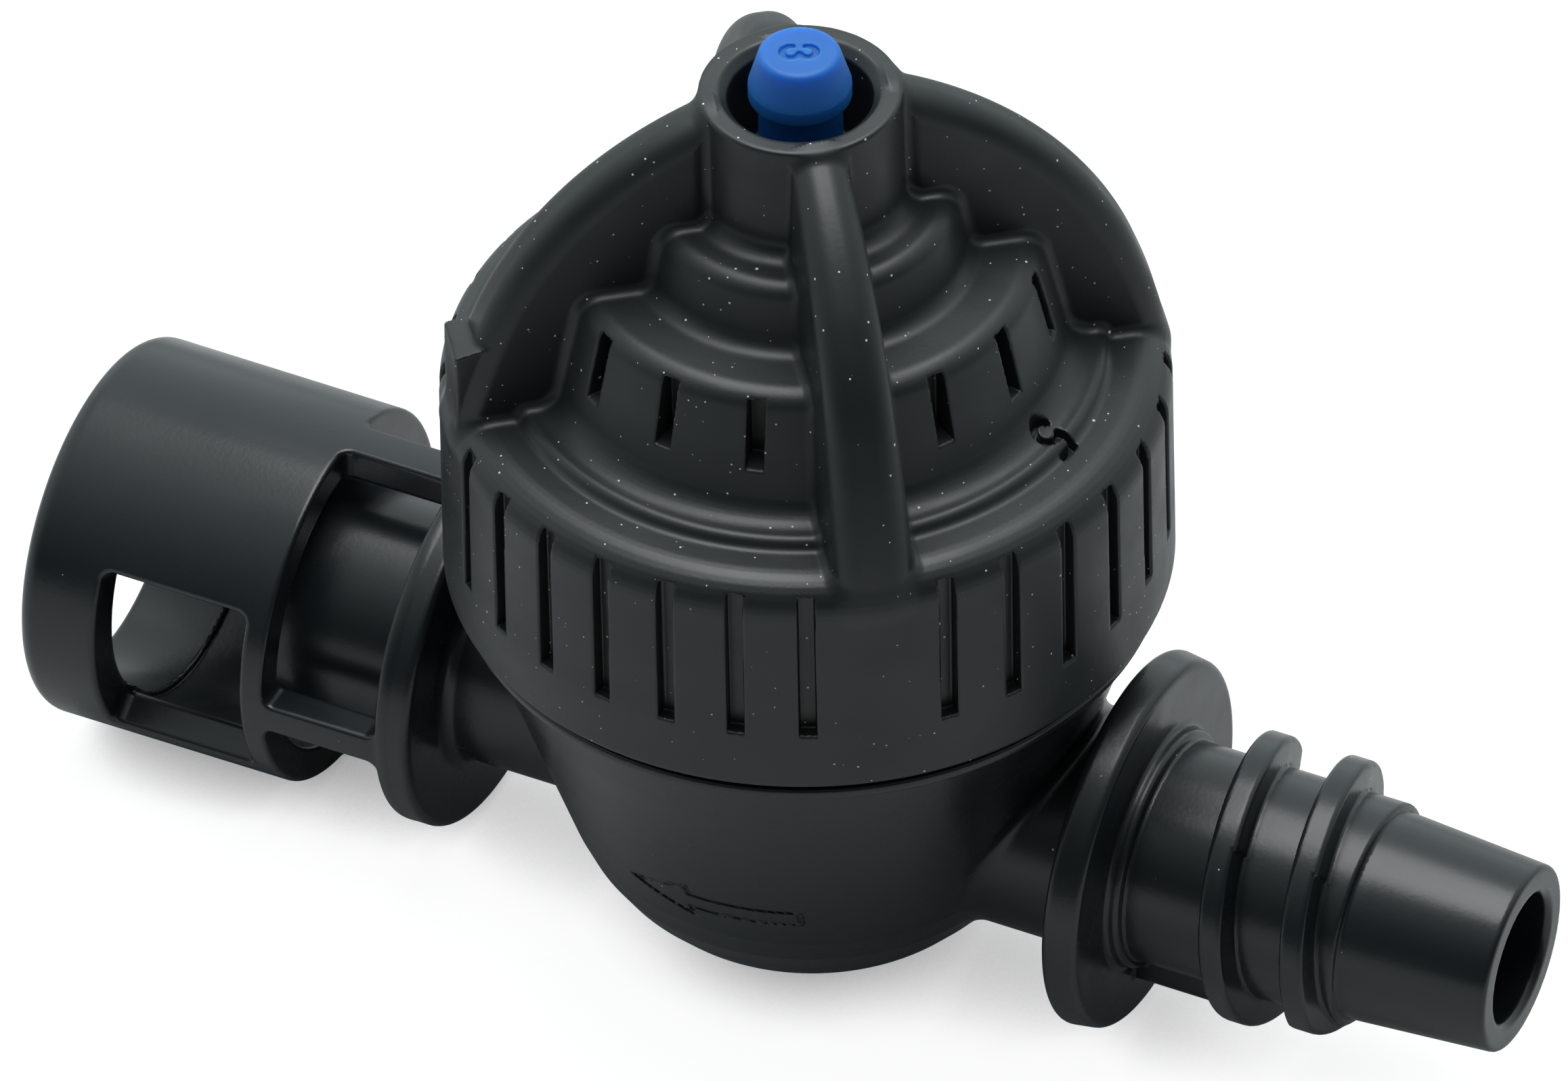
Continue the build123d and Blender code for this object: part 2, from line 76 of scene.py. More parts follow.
# ---- pipe line ---------------------------------------------------------------------------
PIPE_Z = 8.4
NECK_R = 5.0
DISC_R = 7.95
INLET_DISC = (14.05, 15.6)
OUTLET_DISC = (-16.3, -14.7)
TIP_X = BODY_HIGH.x
CORE_R, CORE_END_X = 4.72, 25.55
COARSE_R, COARSE_PITCH = 5.95, 3.6
COARSE_START_X = 19.06          # middle of the coarse ridge where it starts
COARSE_ANGLES = (5.0, 605.0)    # where it starts and ends, about X, from +Y towards +Z
COARSE_FADES = (22, 45)         # degrees over which it rises at the start and sinks at the end
COARSE_HALF, COARSE_SPREAD = 0.575, 0.08    # half width at the crest, and what each millimetre down adds
MOULD_STEP, MOULD_STEP_ANGLES = 0.12, (127, 307)
KEY_HALF, KEY_LENGTH, KEY_ROUND = 2.3, 5.15, 0.7
INLET_BORE_R = 2.76
MOUTH_X = BODY_LOW.x
SOCKET_R, SOCKET_BORE_R = 8.2, 6.35
SOCKET_LAND_X, SOCKET_RELIEF_R = -29.0, 6.6
LOCK_WINDOW_X, LOCK_WINDOW_SPANS = (-29.3, -22.6), ((149.5, 213.0), (-33.0, 30.5))
FOOT_WINDOW_X, FOOT_WINDOW_SPANS = (-21.5, OUTLET_DISC[0]), ((90, 177), (187, 264), (276, 351), (1, 76))
WINDOW_CORNER = 0.5
NOZZLE_X, NOZZLE_R, NOZZLE_BORE_R = -23.0, 5.05, 4.1
PASSAGE_R = 2.3

# ---- bowl and collar ---------------------------------------------------------------------
BOWL_CORNER_R, BOWL_ROUND = 8.25, 9.0
BOWL_TOP_R, BOWL_TOP_Z = 14.0, 18.1
BOWL_WALL = 1.7
LIP_R, LIP_TOP_Z = 14.55, 18.72
COLLAR_R, COLLAR_BORE_R, COLLAR_TOP_Z = 13.0, 11.2, 25.4
COLUMN_R, COLUMN_TOP_Z = 4.6, 20.2
THREAD_PITCH, THREAD_HEIGHT = 2.0, 0.42
THREAD_START_Z = 20.6
THREAD_TURNS = 1.25
THREAD_HALF, THREAD_FLARE = 0.475, 0.655    # half width at the root, and what each millimetre out takes off
FLANK_SHARE = 0.84                          # cosine of the flank's lean, which makes widths true distances

# ---- screw cap ---------------------------------------------------------------------------
SKIRT_Z, RIM_Z = CAP_LOW.z, CAP_HIGH.z
SKIRT_R = 15.0
SKIRT_BORE_R = 13.6
CEILING_Z = 27.7
ANNULUS_Z = 30.0
LEDGE_Z = ANNULUS_Z - 0.4
TIER_1_Z, TIER_2_Z = 35.3, 38.1
HUB_R, HUB_BORE_R, HUB_FLOOR_Z = 4.1, 2.93, 39.2
POCKET_R, POCKET_TOP_Z = 8.3, 33.8          # room for the diaphragm plate
SPRING_WELL_R, SPRING_WELL_Z = 4.95, 36.7
GUIDE_R = 1.78                              # bore that the pin runs in
RIB_ANGLE = math.radians(36.9)
RIB_STEP = math.radians(90)
RIB_HALF_TOP, RIB_WIDENING = 1.18, 0.035    # half width at the rim, and what each mm down adds
RIB_START_U, RIB_ROUND = 3.6, 1.1
RIB_CREST_R, RIB_CREST_U, RIB_CREST_Z = 17.07, -2.4, 27.4
RIB_FOOT_Z, RIB_FOOT_SWELL = 27.5, 0.3
GROOVE_STEP = RIB_STEP / 8
GROOVE_HALF, GROOVE_BED_R, GROOVE_Z = 0.35, 14.35, (22.0, 29.0)
TICK_STEP = RIB_STEP / 4
TICK_HALF, TICK_BED_R, TICK_Z = 0.36, 9.0, (31.95, 34.95)
NUMERAL_ANGLE = math.radians(-5.4)
NUMERAL_R, NUMERAL_Z = 11.58, (28.6, 32.6)
NUMERAL_WIDTH, NUMERAL_DEPTH = 0.32, 0.5
GATE_ANGLE = math.radians(216.9)
GATE_FOOT_Z, GATE_TOP_Z = 28.4, 33.0


# ---- signed distance helpers ---------------------------------------------------------------
def rounded_points(corners):
    """Outline points from (a, b, corner radius), with each round corner as an arc."""
    points = []
    for i, (a, b, radius) in enumerate(corners):
        here = np.array((a, b), float)
        if radius == 0:
            points.append(here)
            continue
        back = np.array(corners[i - 1][:2], float) - here
        ahead = np.array(corners[(i + 1) % len(corners)][:2], float) - here
        back, ahead = back / np.linalg.norm(back), ahead / np.linalg.norm(ahead)
        half = math.acos(np.clip(back @ ahead, -1, 1)) / 2
        middle = (back + ahead) / np.linalg.norm(back + ahead)
        centre = here + middle * radius / math.sin(half)
        side = back - middle * (back @ middle)
        side /= np.linalg.norm(side)
        sweep = math.pi / 2 - half
        for angle in np.linspace(sweep, -sweep, 9):
            points.append(centre - middle * radius * math.cos(angle) + side * radius * math.sin(angle))
    return np.array(points)


class Outline:
    """Signed distance to a closed outline in the (radius, height) plane, read from a fine table."""

    STEP = 0.05
    MARGIN = 2.0

    def __init__(self, corners):
        points = rounded_points(corners)
        self.low = points.min(0) - self.MARGIN
        self.count = np.ceil((points.max(0) + self.MARGIN - self.low) / self.STEP).astype(int) + 1
        a = self.low[0] + np.arange(self.count[0])[:, None] * self.STEP
        b = self.low[1] + np.arange(self.count[1])[None, :] * self.STEP
        nearest = np.full(tuple(self.count), 1e9)
        inside = np.zeros(tuple(self.count), bool)
        for p, q in zip(points, np.roll(points, -1, axis=0)):
            edge = q - p
            length = edge @ edge
            if length < 1e-12:
                continue
            if p[1] != q[1]:
                crossing = ((p[1] > b) != (q[1] > b)) & (a < edge[0] * (b - p[1]) / edge[1] + p[0])
                inside ^= crossing
            if abs(p[0]) < 1e-9 and abs(q[0]) < 1e-9:
                continue                       # the axis itself isn't a surface
            along = np.clip(((a - p[0]) * edge[0] + (b - p[1]) * edge[1]) / length, 0, 1)
            gap = (a - p[0] - along * edge[0]) ** 2 + (b - p[1] - along * edge[1]) ** 2
            nearest = np.minimum(nearest, gap)
        self.table = (np.sqrt(nearest) * np.where(inside, -1, 1)).astype(np.float32).ravel()

    def __call__(self, radius, height):
        a = np.clip((radius - self.low[0]) / self.STEP, 0, self.count[0] - 1.001).astype(np.float32)
        b = np.clip((height - self.low[1]) / self.STEP, 0, self.count[1] - 1.001).astype(np.float32)
        i, j = a.astype(np.int32), b.astype(np.int32)
        a, b = a - i, b - j
        k = i * self.count[1] + j
        near = self.table[k] * (1 - b) + self.table[k + 1] * b
        far = self.table[k + self.count[1]] * (1 - b) + self.table[k + self.count[1] + 1] * b
        return near * (1 - a) + far * a


def turned(corners):
    """Solid of revolution about Z, from (radius, z, corner radius)."""
    outline = Outline(corners)
    return lambda x, y, z: outline(np.hypot(x, y), z)


def turned_on_pipe(corners):
    """Solid of revolution about the pipe's axis, from (x, radius, corner radius)."""
    outline = Outline([(radius, along, rounding) for along, radius, rounding in corners])
    return lambda x, y, z: outline(np.hypot(y, z - PIPE_Z), x)


def join(a, b, fillet):
    """Union with a round fillet along the inner corner."""
    u, v = np.maximum(fillet - a, 0), np.maximum(fillet - b, 0)
    return np.maximum(fillet, np.minimum(a, b)) - np.hypot(u, v)


def meet(a, b, rounding):
    """Intersection with a rounded outer edge."""
    u, v = np.maximum(rounding + a, 0), np.maximum(rounding + b, 0)
    return np.minimum(-rounding, np.maximum(a, b)) + np.hypot(u, v)


def cut(a, b, rounding):
    """a without b, with a rounded edge."""
    return meet(a, -b, rounding)


def slab(value, low, high):
    return np.maximum(low - value, value - high)


def folded(angle, first, step):
    """Angle from the nearest of the directions first + k * step, and k."""
    k = np.round((angle - first) / step)
    return angle - first - k * step, k.astype(int)


def stroke_gap(a, b, lines, width):
    """Distance from the outline of pen strokes along polylines, negative inside the stroke."""
    nearest = np.full(a.shape, 1e9)
    for line in lines:
        for (pa, pb), (qa, qb) in zip(line, line[1:]):
            ea, eb = qa - pa, qb - pb
            along = np.clip(((a - pa) * ea + (b - pb) * eb) / (ea * ea + eb * eb), 0, 1)
            nearest = np.minimum(nearest, (a - pa - along * ea) ** 2 + (b - pb - along * eb) ** 2)
    return np.sqrt(nearest) - width / 2


def arc_points(centre, radius, start, stop, count=12):
    """Points along an arc, with its angles in degrees."""
    angles = np.radians(np.linspace(start, stop, count))
    return [(centre[0] + radius * math.cos(t), centre[1] + radius * math.sin(t)) for t in angles]


def engrave(distance, where, a, b, lines, width, depth, rounding=0.04):
    """Sinks pen strokes into the surface, by depth, where the mask allows it."""
    near = np.flatnonzero(where & (np.abs(distance) < 1.2))
    if len(near) == 0:
        return distance
    pen = stroke_gap(a[near], b[near], lines, width)
    tool = np.maximum(pen, -(distance[near] + depth))
    distance = distance.copy()
    distance[near] = cut(distance[near], tool, rounding)
    return distance


def thread(radius, angle, z, root_r, outward, first_angle):
    """Helical ridge with a trapezoid section."""
    turn = (angle - first_angle) % (2 * math.pi) / (2 * math.pi)
    ridge = np.full(radius.shape, FAR)
    for extra in (0, 1):
        start_z = THREAD_START_Z + (0.0 if outward else THREAD_PITCH / 4)
        middle = start_z + THREAD_PITCH * (turn + extra)
        side = np.abs(z - middle) - THREAD_HALF + THREAD_FLARE * np.abs(radius - root_r)
        height = (radius - root_r if outward else root_r - radius) - THREAD_HEIGHT
        piece = np.maximum(side * FLANK_SHARE, height)
        if extra:
            piece = np.where(turn + extra > THREAD_TURNS, FAR, piece)
        ridge = np.minimum(ridge, piece)
    return ridge


# ---- turning a distance field into a mesh --------------------------------------------------
def sampled(field, low, high, voxel):
    """Distances on a grid: exact in blocks near the surface, only signed elsewhere."""
    side = BLOCK * voxel
    counts = np.ceil((high - low) / side).astype(int)
    axes = [low[k] + (np.arange(counts[k]) + 0.5) * side for k in range(3)]
    centres = [c.ravel() for c in np.meshgrid(*axes, indexing="ij")]
    coarse = field(*centres).reshape(counts)
    reach = side * 0.87 + 2 * voxel
    values = (np.sign(coarse) * reach).astype(np.float32)
    for axis in range(3):
        values = np.repeat(values, BLOCK, axis)
    inner = (np.arange(BLOCK) + 0.5) * voxel
    near = np.argwhere(np.abs(coarse) < reach)
    for chunk in np.array_split(near, math.ceil(len(near) / BLOCKS_AT_ONCE)):
        corner = low + chunk * side
        x = corner[:, 0, None, None, None] + inner[None, :, None, None]
        y = corner[:, 1, None, None, None] + inner[None, None, :, None]
        z = corner[:, 2, None, None, None] + inner[None, None, None, :]
        x, y, z = (c.ravel() for c in np.broadcast_arrays(x, y, z))
        exact = field(x, y, z).reshape(-1, BLOCK, BLOCK, BLOCK)
        for (i, j, k), part in zip(chunk * BLOCK, exact):
            values[i:i + BLOCK, j:j + BLOCK, k:k + BLOCK] = part
    return values


def slope(field, points, step):
    """Unit direction in which the distance grows fastest, at each point."""
    gradient = np.empty_like(points)
    for axis in range(3):
        shift = np.zeros(3)
        shift[axis] = step
        gradient[:, axis] = field(*(points + shift).T) - field(*(points - shift).T)
    return gradient / np.maximum(np.linalg.norm(gradient, axis=1, keepdims=True), 1e-9)


def moulded(name, field, low, high, voxel):
    """Mesh object whose surface is where the field is zero."""
    low = np.array(low, float) - 3 * voxel
    high = np.array(high, float) + 3 * voxel
    values = sampled(field, low, high, voxel)
    grid = openvdb.FloatGrid(float(values.max()))
    grid.copyFromArray(values)
    points, quads = grid.convertToQuads(isovalue=0.0)
    points = low + (points.astype(float) + 0.5) * voxel
    for _ in range(2):
        distance = np.clip(field(*points.T), -voxel / 2, voxel / 2)
        points -= distance[:, None] * slope(field, points, voxel * 0.4)
    normals = slope(field, points, voxel * 0.6)
    corners = points[quads[:, :4].astype(int)]
    facing = np.cross(corners[:, 2] - corners[:, 0], corners[:, 3] - corners[:, 1])
    if (facing * normals[quads[:, 0]]).sum() < 0:
        quads = quads[:, ::-1]
    return mesh_object(name, points, quads, normals)


def mesh_object(name, points, quads, normals=None):
    """Object from millimetre points and equal-sided faces, smooth shaded."""
    mesh = bpy.data.meshes.new(name)
    sides = quads.shape[1]
    mesh.vertices.add(len(points))
    mesh.vertices.foreach_set("co", (np.asarray(points) * SCALE).astype(np.float32).ravel())
    mesh.loops.add(quads.size)
    mesh.loops.foreach_set("vertex_index", np.ascontiguousarray(quads, np.int32).ravel())
    mesh.polygons.add(len(quads))
    mesh.polygons.foreach_set("loop_start", np.arange(0, quads.size, sides, dtype=np.int32))
    mesh.update(calc_edges=True)
    mesh.polygons.foreach_set("use_smooth", np.ones(len(quads), bool))
    mesh.validate()
    if normals is not None:
        mesh.normals_split_custom_set_from_vertices(normals.astype(np.float32))
    piece = bpy.data.objects.new(name, mesh)
    bpy.context.scene.collection.objects.link(piece)
    return piece


# ---- the screw cap ---------------------------------------------------------------------------
def cap_outside():
    return turned([
        (0, SKIRT_Z, 0),
        (SKIRT_R, SKIRT_Z, 0.25),
        (SKIRT_R - 0.12, LEDGE_Z, 1.5),
        (12.35, LEDGE_Z, 0.35),
        (12.05, ANNULUS_Z + 0.05, 0.4),
        (10.75, ANNULUS_Z, 1.2),
        (9.5, TIER_1_Z, 0.95),
        (6.75, TIER_1_Z, 0.75),
        (6.15, TIER_2_Z, 0.8),
        (HUB_R + 0.1, TIER_2_Z, 0.8),
        (HUB_R, RIM_Z, 0.16),
        (0, RIM_Z, 0),
    ])


def cap_inside():
    return turned([
        (0, SKIRT_Z - 1, 0),
        (SKIRT_BORE_R, SKIRT_Z - 1, 0),
        (SKIRT_BORE_R, CEILING_Z, 0.1),
        (POCKET_R, CEILING_Z, 0.3),
        (POCKET_R, POCKET_TOP_Z, 0.8),
        (SPRING_WELL_R, POCKET_TOP_Z, 0.3),
        (SPRING_WELL_R, SPRING_WELL_Z, 0.3),
        (GUIDE_R, SPRING_WELL_Z, 0),
        (GUIDE_R, HUB_FLOOR_Z, 0),
        (HUB_BORE_R, HUB_FLOOR_Z, 0.2),
        (HUB_BORE_R, RIM_Z - 0.39, 0.08),
        (HUB_BORE_R + 0.59, RIM_Z + 0.2, 0),
        (0, RIM_Z + 0.2, 0),
    ])


def cap_ribs(radius, angle, z):
    """Four arched ribs with round crests."""
    turn, _ = folded(angle, RIB_ANGLE, RIB_STEP)
    u, v = radius * np.cos(turn), radius * np.sin(turn)
    swell = RIB_FOOT_SWELL * np.clip((33.0 - z) / 5.0, 0, 1) ** 1.5
    crest = np.hypot(u - RIB_CREST_U, z - RIB_CREST_Z) - RIB_CREST_R - swell
    side = np.maximum(meet(crest, RIB_FOOT_Z - z, RIB_ROUND), RIB_START_U - u)
    half = RIB_HALF_TOP + RIB_WIDENING * (RIM_Z - z)
    return meet(side, np.abs(v) - half, RIB_ROUND)


def gate_tab(radius, angle, z):
    """Rough block left where the cap was cut from its runner."""
    turn = angle - GATE_ANGLE
    u, v = radius * np.cos(turn), radius * np.sin(turn)
    torn = GATE_TOP_Z + 0.05 * np.sin(1.9 * u + 1.3 * v) - 0.16 * (u - 13.8)
    wall = 14.6 + 0.03 * np.sin(0.9 * z + 1.1 * v)
    block = meet(slab(u, 12.9, wall), np.abs(v - 0.1) - 1.2, 0.08)
    return np.where(np.cos(turn) > 0, meet(block, slab(z, GATE_FOOT_Z, torn), 0.06), FAR)


def grip_grooves(radius, angle, z):
    turn, k = folded(angle, RIB_ANGLE, GROOVE_STEP)
    v = radius * turn
    groove = np.maximum(np.maximum(np.abs(v) - GROOVE_HALF, GROOVE_BED_R - radius), slab(z, *GROOVE_Z))
    return np.where(k % 8 == 0, FAR, groove)


def tier_ticks(radius, angle, z):
    turn, k = folded(angle, RIB_ANGLE, TICK_STEP)
    v = radius * turn
    tick = np.maximum(np.maximum(np.abs(v) - TICK_HALF, TICK_BED_R - radius), slab(z, *TICK_Z))
    return np.where(k % 4 == 0, FAR, tick)


def numeral_five():
    """Pen strokes of a plain figure 5, about 1.9 high, centred on (0, 0)."""
    bowl = arc_points((-0.04, -0.30), 0.50, 125, -148, 16)
    return [[(0.48, 0.82), (-0.36, 0.82), (-0.40, 0.04), bowl[0]], bowl]


def cap_field():
    outside, inside = cap_outside(), cap_inside()
    figure = numeral_five()
    cos_n, sin_n = math.cos(NUMERAL_ANGLE), math.sin(NUMERAL_ANGLE)

    def field(x, y, z):
        radius, angle = np.hypot(x, y), np.arctan2(y, x)
        shape = join(outside(x, y, z), cap_ribs(radius, angle, z), 0.42)
        shape = join(shape, gate_tab(radius, angle % (2 * math.pi), z), 0.12)
        shape = cut(shape, grip_grooves(radius, angle, z), 0.07)
        shape = cut(shape, tier_ticks(radius, angle, z), 0.07)
        up = x * cos_n + y * sin_n - NUMERAL_R
        across = x * sin_n - y * cos_n
        near = (np.abs(up) < 1.6) & (np.abs(across) < 1.4) & (slab(z, *NUMERAL_Z) < 0)
        shape = engrave(shape, near, across, up, figure, NUMERAL_WIDTH, NUMERAL_DEPTH, 0.02)
        hollow = inside(x, y, z)
        ridge = thread(radius, angle, z, SKIRT_BORE_R, False, -math.pi / 2)
        return cut(shape, np.maximum(hollow, -ridge), 0.05)

    return field


# ---- the valve body --------------------------------------------------------------------------
def bowl_outside():
    return turned([
        (0, 0, 0),
        (BOWL_CORNER_R, 0, BOWL_ROUND),
        (BOWL_TOP_R, BOWL_TOP_Z, 0.35),
        (LIP_R, BOWL_TOP_Z + 0.02, 0.25),
        (LIP_R, LIP_TOP_Z, 0.2),
        (COLLAR_R, LIP_TOP_Z, 0.25),
        (COLLAR_R, COLLAR_TOP_Z, 0.3),
        (0, COLLAR_TOP_Z, 0),
    ])


def bowl_inside():
    return turned([
        (0, BOWL_WALL, 0),
        (BOWL_CORNER_R - BOWL_WALL, BOWL_WALL, BOWL_ROUND - 2 * BOWL_WALL),
        (COLLAR_BORE_R, BOWL_TOP_Z - 1.5, 2.0),
        (COLLAR_BORE_R, COLLAR_TOP_Z + 1, 0),
        (0, COLLAR_TOP_Z + 1, 0),
    ])


def plug_outside():
    low, high = INLET_DISC
    return turned_on_pipe([
        (6.0, 0, 0),
        (6.0, NECK_R, 0),
        (low, NECK_R, 0.6),
        (low, DISC_R + 0.12, 0.35),
        (high, DISC_R - 0.1, 0.35),
        (high, CORE_R + 0.4, 0.25),
        (high + 0.65, CORE_R + 0.4, 0.25),
        (high + 0.65, CORE_R, 0.1),
        (CORE_END_X, CORE_R, 0.12),
        (CORE_END_X + 0.12, 4.40, 0.08),
        (26.2, 4.38, 0.5),
        (TIP_X, 3.98, 0.22),
        (TIP_X, 0, 0),
    ])


def coarse_thread(x, y, z):
    """Coarse ridge round the plug. Its nose side steps back where two mould halves met."""
    angle, radius = np.degrees(np.arctan2(z - PIPE_Z, y)) % 360, np.hypot(y, z - PIPE_Z)
    ridge = np.full(x.shape, FAR)
    for turn in (0, 1):
        swing = angle + 360 * turn
        off = x - COARSE_START_X - COARSE_PITCH * (swing - COARSE_ANGLES[0]) / 360
        half = COARSE_HALF + COARSE_SPREAD * (COARSE_R - radius)
        stepped = (angle > MOULD_STEP_ANGLES[0]) & (angle < MOULD_STEP_ANGLES[1])
        step_back = np.where(stepped, MOULD_STEP, 0.0)
        side = np.maximum(-off - half, off - half + step_back)
        rise = 1 - (swing - COARSE_ANGLES[0]) / COARSE_FADES[0]
        fade = np.maximum(rise, 1 - (COARSE_ANGLES[1] - swing) / COARSE_FADES[1])
        crest = COARSE_R - (COARSE_R - CORE_R + 0.25) * np.clip(fade, 0, 1.2)
        ridge = np.minimum(ridge, meet(side, radius - crest, 0.2))
    return ridge


def key_block(x, y, z):
    """Flat-sided block under the plug, against the stop disc."""
    low = INLET_DISC[1] - 0.5
    block = meet(np.abs(y) - KEY_HALF, PIPE_Z - COARSE_R + 0.15 - z, KEY_ROUND)
    return np.maximum(np.maximum(block, z - PIPE_Z), slab(x, low, low + KEY_LENGTH))


def socket_sleeve():
    """Outlet sleeve with two lock windows, and four windows at its foot."""
    disc = OUTLET_DISC[0]
    sleeve = turned_on_pipe([
        (MOUTH_X, SOCKET_BORE_R, 0.25),
        (MOUTH_X, SOCKET_R, 0.8),
        (disc + 0.5, SOCKET_R - 0.1, 0),
        (disc + 0.5, SOCKET_RELIEF_R, 0),
        (SOCKET_LAND_X, SOCKET_RELIEF_R, 0),
        (SOCKET_LAND_X, SOCKET_BORE_R, 0),
    ])

    def window(along, angle, span, x_range):
        middle, half = sum(span) / 2, (span[1] - span[0]) / 2
        off = np.abs((angle - middle + 180) % 360 - 180)
        return meet(np.radians(off - half) * SOCKET_R, slab(along, *x_range), WINDOW_CORNER)

    def field(x, y, z):
        angle = np.degrees(np.arctan2(z - PIPE_Z, y))
        shape = sleeve(x, y, z)
        for span in LOCK_WINDOW_SPANS:
            shape = cut(shape, window(x, angle, span, LOCK_WINDOW_X), 0.26)
        for span in FOOT_WINDOW_SPANS:
            shape = cut(shape, window(x, angle, span, FOOT_WINDOW_X), 0.18)
        return shape

    return field


def outlet_neck():
    low, high = OUTLET_DISC
    return turned_on_pipe([
        (-6.0, 0, 0),
        (-6.0, NECK_R, 0),
        (high, NECK_R, 0.6),
        (high, SOCKET_R - 0.05, 0.35),
        (low, SOCKET_R - 0.05, 0.35),
        (low, NOZZLE_R, 0.3),
        (NOZZLE_X, NOZZLE_R, 0.25),
        (NOZZLE_X, 0, 0),
    ])


def pipe_bores():
    seat_x = OUTLET_DISC[0] - 0.3
    outlet = turned_on_pipe([
        (0, 0, 0),
        (0, PASSAGE_R, 0),
        (seat_x, PASSAGE_R, 0),
        (seat_x, NOZZLE_BORE_R, 0),
        (NOZZLE_X + 0.4, NOZZLE_BORE_R, 0.1),
        (NOZZLE_X - 0.3, NOZZLE_BORE_R + 0.65, 0),
        (NOZZLE_X - 0.3, 0, 0),
    ])
    inlet = turned_on_pipe([
        (8.0, 0, 0),
        (8.0, INLET_BORE_R, 0),
        (TIP_X - 0.2, INLET_BORE_R, 0.2),
        (TIP_X + 0.3, INLET_BORE_R + 0.5, 0),
        (TIP_X + 0.3, 0, 0),
    ])
    return lambda x, y, z: np.minimum(outlet(x, y, z), inlet(x, y, z))


def seat_shaft():
    return turned([
        (0, PIPE_Z - PASSAGE_R, 0),
        (PASSAGE_R, PIPE_Z - PASSAGE_R, 0),
        (PASSAGE_R, 18.2, 0),
        (3.0, 18.2, 0),
        (3.0, COLUMN_TOP_Z + 1, 0),
        (0, COLUMN_TOP_Z + 1, 0),
    ])


def flow_arrow():
    """Outline of an arrow along -X, as (x, z) strokes on the front of the bowl."""
    head_x, shaft_x, end_x = -3.1, -0.4, 4.2
    middle, half_shaft, half_head = 8.3, 0.45, 1.0
    return [[
        (end_x, middle - half_shaft),
        (end_x, middle + half_shaft),
        (shaft_x, middle + half_shaft),
        (shaft_x, middle + half_head),
        (head_x, middle),
        (shaft_x, middle - half_head),
        (shaft_x, middle - half_shaft),
        (end_x, middle - half_shaft),
    ]]


def body_field():
    bowl, hollow, plug = bowl_outside(), bowl_inside(), plug_outside()
    neck, sleeve, bores, shaft = outlet_neck(), socket_sleeve(), pipe_bores(), seat_shaft()
    column = turned([
        (0, 1, 0),
        (COLUMN_R, 1, 0),
        (COLUMN_R, COLUMN_TOP_Z, 0.2),
        (0, COLUMN_TOP_Z, 0),
    ])
    wall_r = PASSAGE_R + 1.4
    crossing = turned_on_pipe([(0, 0, 0), (0, wall_r, 0), (-12, wall_r, 0), (-12, 0, 0)])
    arrow = flow_arrow()

    def field(x, y, z):
        radius, angle = np.hypot(x, y), np.arctan2(y, x)
        inlet = join(plug(x, y, z), coarse_thread(x, y, z), 0.12)
        inlet = join(inlet, key_block(x, y, z), 0.15)
        outlet = join(neck(x, y, z), sleeve(x, y, z), 0.12)
        shape = bowl(x, y, z)
        front = (y < 0) & (x > -4) & (x < 5) & (z > 6.5) & (z < 10)
        shape = engrave(shape, front, x, z, arrow, 0.22, 0.13)
        shape = join(shape, np.minimum(inlet, outlet), 0.5)
        shape = np.minimum(shape, thread(radius, angle, z, COLLAR_R, True, 0.0))
        core = join(column(x, y, z), crossing(x, y, z), 0.4)
        shape = cut(shape, cut(hollow(x, y, z), core, 0.3), 0.15)
        return cut(shape, np.minimum(bores(x, y, z), shaft(x, y, z)), 0.05)

    return field


# ---- the indicator pin -------------------------------------------------------------------------
def pin_field():
    """Stem and coned head, with a small figure sunk in its top."""
    stem_r, head_r, top_r = 1.7, 2.09, 1.62
    head_z, cone_z = 43.1, 43.75
    body = turned([
        (0, PIN_LOW.z, 0),
        (stem_r, PIN_LOW.z, 0.2),
        (stem_r, head_z, 0.1),
        (head_r, head_z, 0.1),
        (head_r, cone_z, 0.1),
        (top_r, PIN_HIGH.z, 0.3),
        (0, PIN_HIGH.z, 0),
    ])
    mark = [
        arc_points((0.0, 0.34), 0.34, 190, -75, 10),
        arc_points((0.0, -0.34), 0.36, 75, -190, 10),
    ]
    turn = math.radians(-63)

    def field(x, y, z):
        shape = body(x, y, z)
        across = x * math.cos(turn) + y * math.sin(turn)
        up = y * math.cos(turn) - x * math.sin(turn)
        top = z > PIN_HIGH.z - 0.8
        return engrave(shape, top, across, up, mark, 0.26, 0.16, 0.08)

    return field


# ---- soft and sprung pieces ----------------------------------------------------------------------
def lathe(name, corners, steps=160):
    """Mesh of revolution about Z from (radius, z, corner radius), closed through its hole."""
    outline = rounded_points(corners)
    count = len(outline)
    angles = np.linspace(0, 2 * math.pi, steps, endpoint=False)
    points = np.stack([
        np.outer(np.cos(angles), outline[:, 0]),
        np.outer(np.sin(angles), outline[:, 0]),
        np.broadcast_to(outline[:, 1], (steps, count)),
    ], axis=-1).reshape(-1, 3)
    i, j = np.meshgrid(np.arange(steps), np.arange(count), indexing="ij")
    i_next, j_next = (i + 1) % steps, (j + 1) % count
    corners = [i * count + j, i_next * count + j, i_next * count + j_next, i * count + j_next]
    return mesh_object(name, points, np.stack(corners, -1).reshape(-1, 4))


